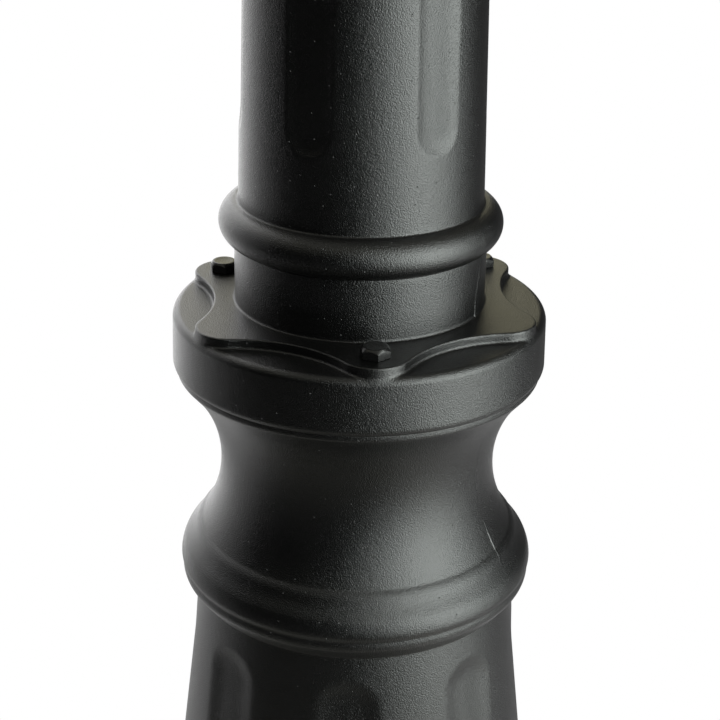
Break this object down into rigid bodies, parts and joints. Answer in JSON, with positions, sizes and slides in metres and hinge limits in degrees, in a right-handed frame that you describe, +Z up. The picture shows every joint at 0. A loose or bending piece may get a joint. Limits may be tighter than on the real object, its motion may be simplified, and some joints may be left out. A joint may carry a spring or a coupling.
{
  "type": "lamp post",
  "caption": "Tapered, fluted garden lamp post: flared pedestal, lobed bolted coupling, pole, and a hexagonal glazed lantern with a hinged door and a vented roof.",
  "frame": {"origin": "centre of the pedestal's foot, on the ground", "axes": "+Z up the post; -Y towards the viewer's side, where the lantern's door and the front coupling bolt are; +X to the right of someone facing that side"},
  "size_m": [0.27, 0.27, 2.0552],
  "materials": {
    "black_powder_coat": "cast aluminium under a satin black powder coat with a fine orange-peel texture",
    "blackened_steel": "black oxide, dull",
    "zinc_plated_steel": "bright zinc plate, slightly dulled",
    "spring_steel": "rolled, satin",
    "turned_brass": "turned, lightly tarnished",
    "clear_glass": "clear float glass",
    "black_rubber": "matt",
    "white_porcelain": "white glaze",
    "nickel_plate": "nickel plate",
    "white_plastic": "fine matt moulding",
    "opal_plastic": "opal, softly glossy",
    "clear_nylon": "natural nylon",
    "black_plastic": "fine matt moulding"
  },
  "bodies": {
    "door": {"door_frame": "black_powder_coat", "door_glass": "clear_glass", "door_glass_clips": "spring_steel", "door_knob": "turned_brass"},
    "bulb": {"bulb_cap": "nickel_plate", "bulb_collar": "white_plastic", "bulb_globe": "opal_plastic"},
    "roof": {"roof": "black_powder_coat", "vent_drum": "black_powder_coat", "vent_cap": "black_powder_coat"},
    "finial": {"finial": "black_powder_coat"},
    "root": {"pedestal": "black_powder_coat", "coupling_flange": "black_powder_coat", "coupling_bolts": "blackened_steel", "pole": "black_powder_coat", "pole_set_screw": "blackened_steel", "lantern_fitter": "black_powder_coat", "fitter_set_screws": "blackened_steel", "lantern_base": "black_powder_coat", "base_bolts": "zinc_plated_steel", "cage": "black_powder_coat", "cage_screws": "zinc_plated_steel", "glass_pane_right_front": "clear_glass", "glass_pane_right_rear": "clear_glass", "glass_pane_rear": "clear_glass", "glass_pane_left_rear": "clear_glass", "glass_pane_left_front": "clear_glass", "lower_glazing_ring": "black_powder_coat", "upper_glazing_ring": "black_powder_coat", "glazing_screws": "zinc_plated_steel", "door_catch": "spring_steel", "hinge_pins": "turned_brass", "roof_gasket": "black_rubber", "roof_bridge": "zinc_plated_steel", "bridge_screws": "zinc_plated_steel", "finial_rod": "zinc_plated_steel", "rod_nuts": "zinc_plated_steel", "holder_bracket": "zinc_plated_steel", "bracket_screws": "zinc_plated_steel", "lamp_holder": "white_porcelain", "holder_nut": "zinc_plated_steel", "socket_shell": "turned_brass", "terminal_block": "clear_nylon", "terminal_screws": "turned_brass", "cable_gland": "black_plastic", "gland_nut": "black_plastic", "earth_screw": "turned_brass"}
  },
  "joints": [
    {"name": "door_hinge", "type": "hinge", "parent": "root", "child": "door", "pos_m": [-0.03202, -0.07848, 1.62773], "axis": [0.0598, 0.1036, -0.9928], "range_deg": [0, 110]},
    {"name": "bulb_turn", "type": "hinge", "parent": "root", "child": "bulb", "pos_m": [0, 0, 1.7], "axis": [0, 0, 1], "range_deg": [0, 1440]},
    {"name": "roof_lift", "type": "slide", "parent": "root", "child": "roof", "axis": [0, 0, 1], "range_m": [0, 0.12]},
    {"name": "finial_turn", "type": "hinge", "parent": "roof", "child": "finial", "pos_m": [0, 0, 2], "axis": [0, 0, 1], "range_deg": [0, 3960]}
  ]
}
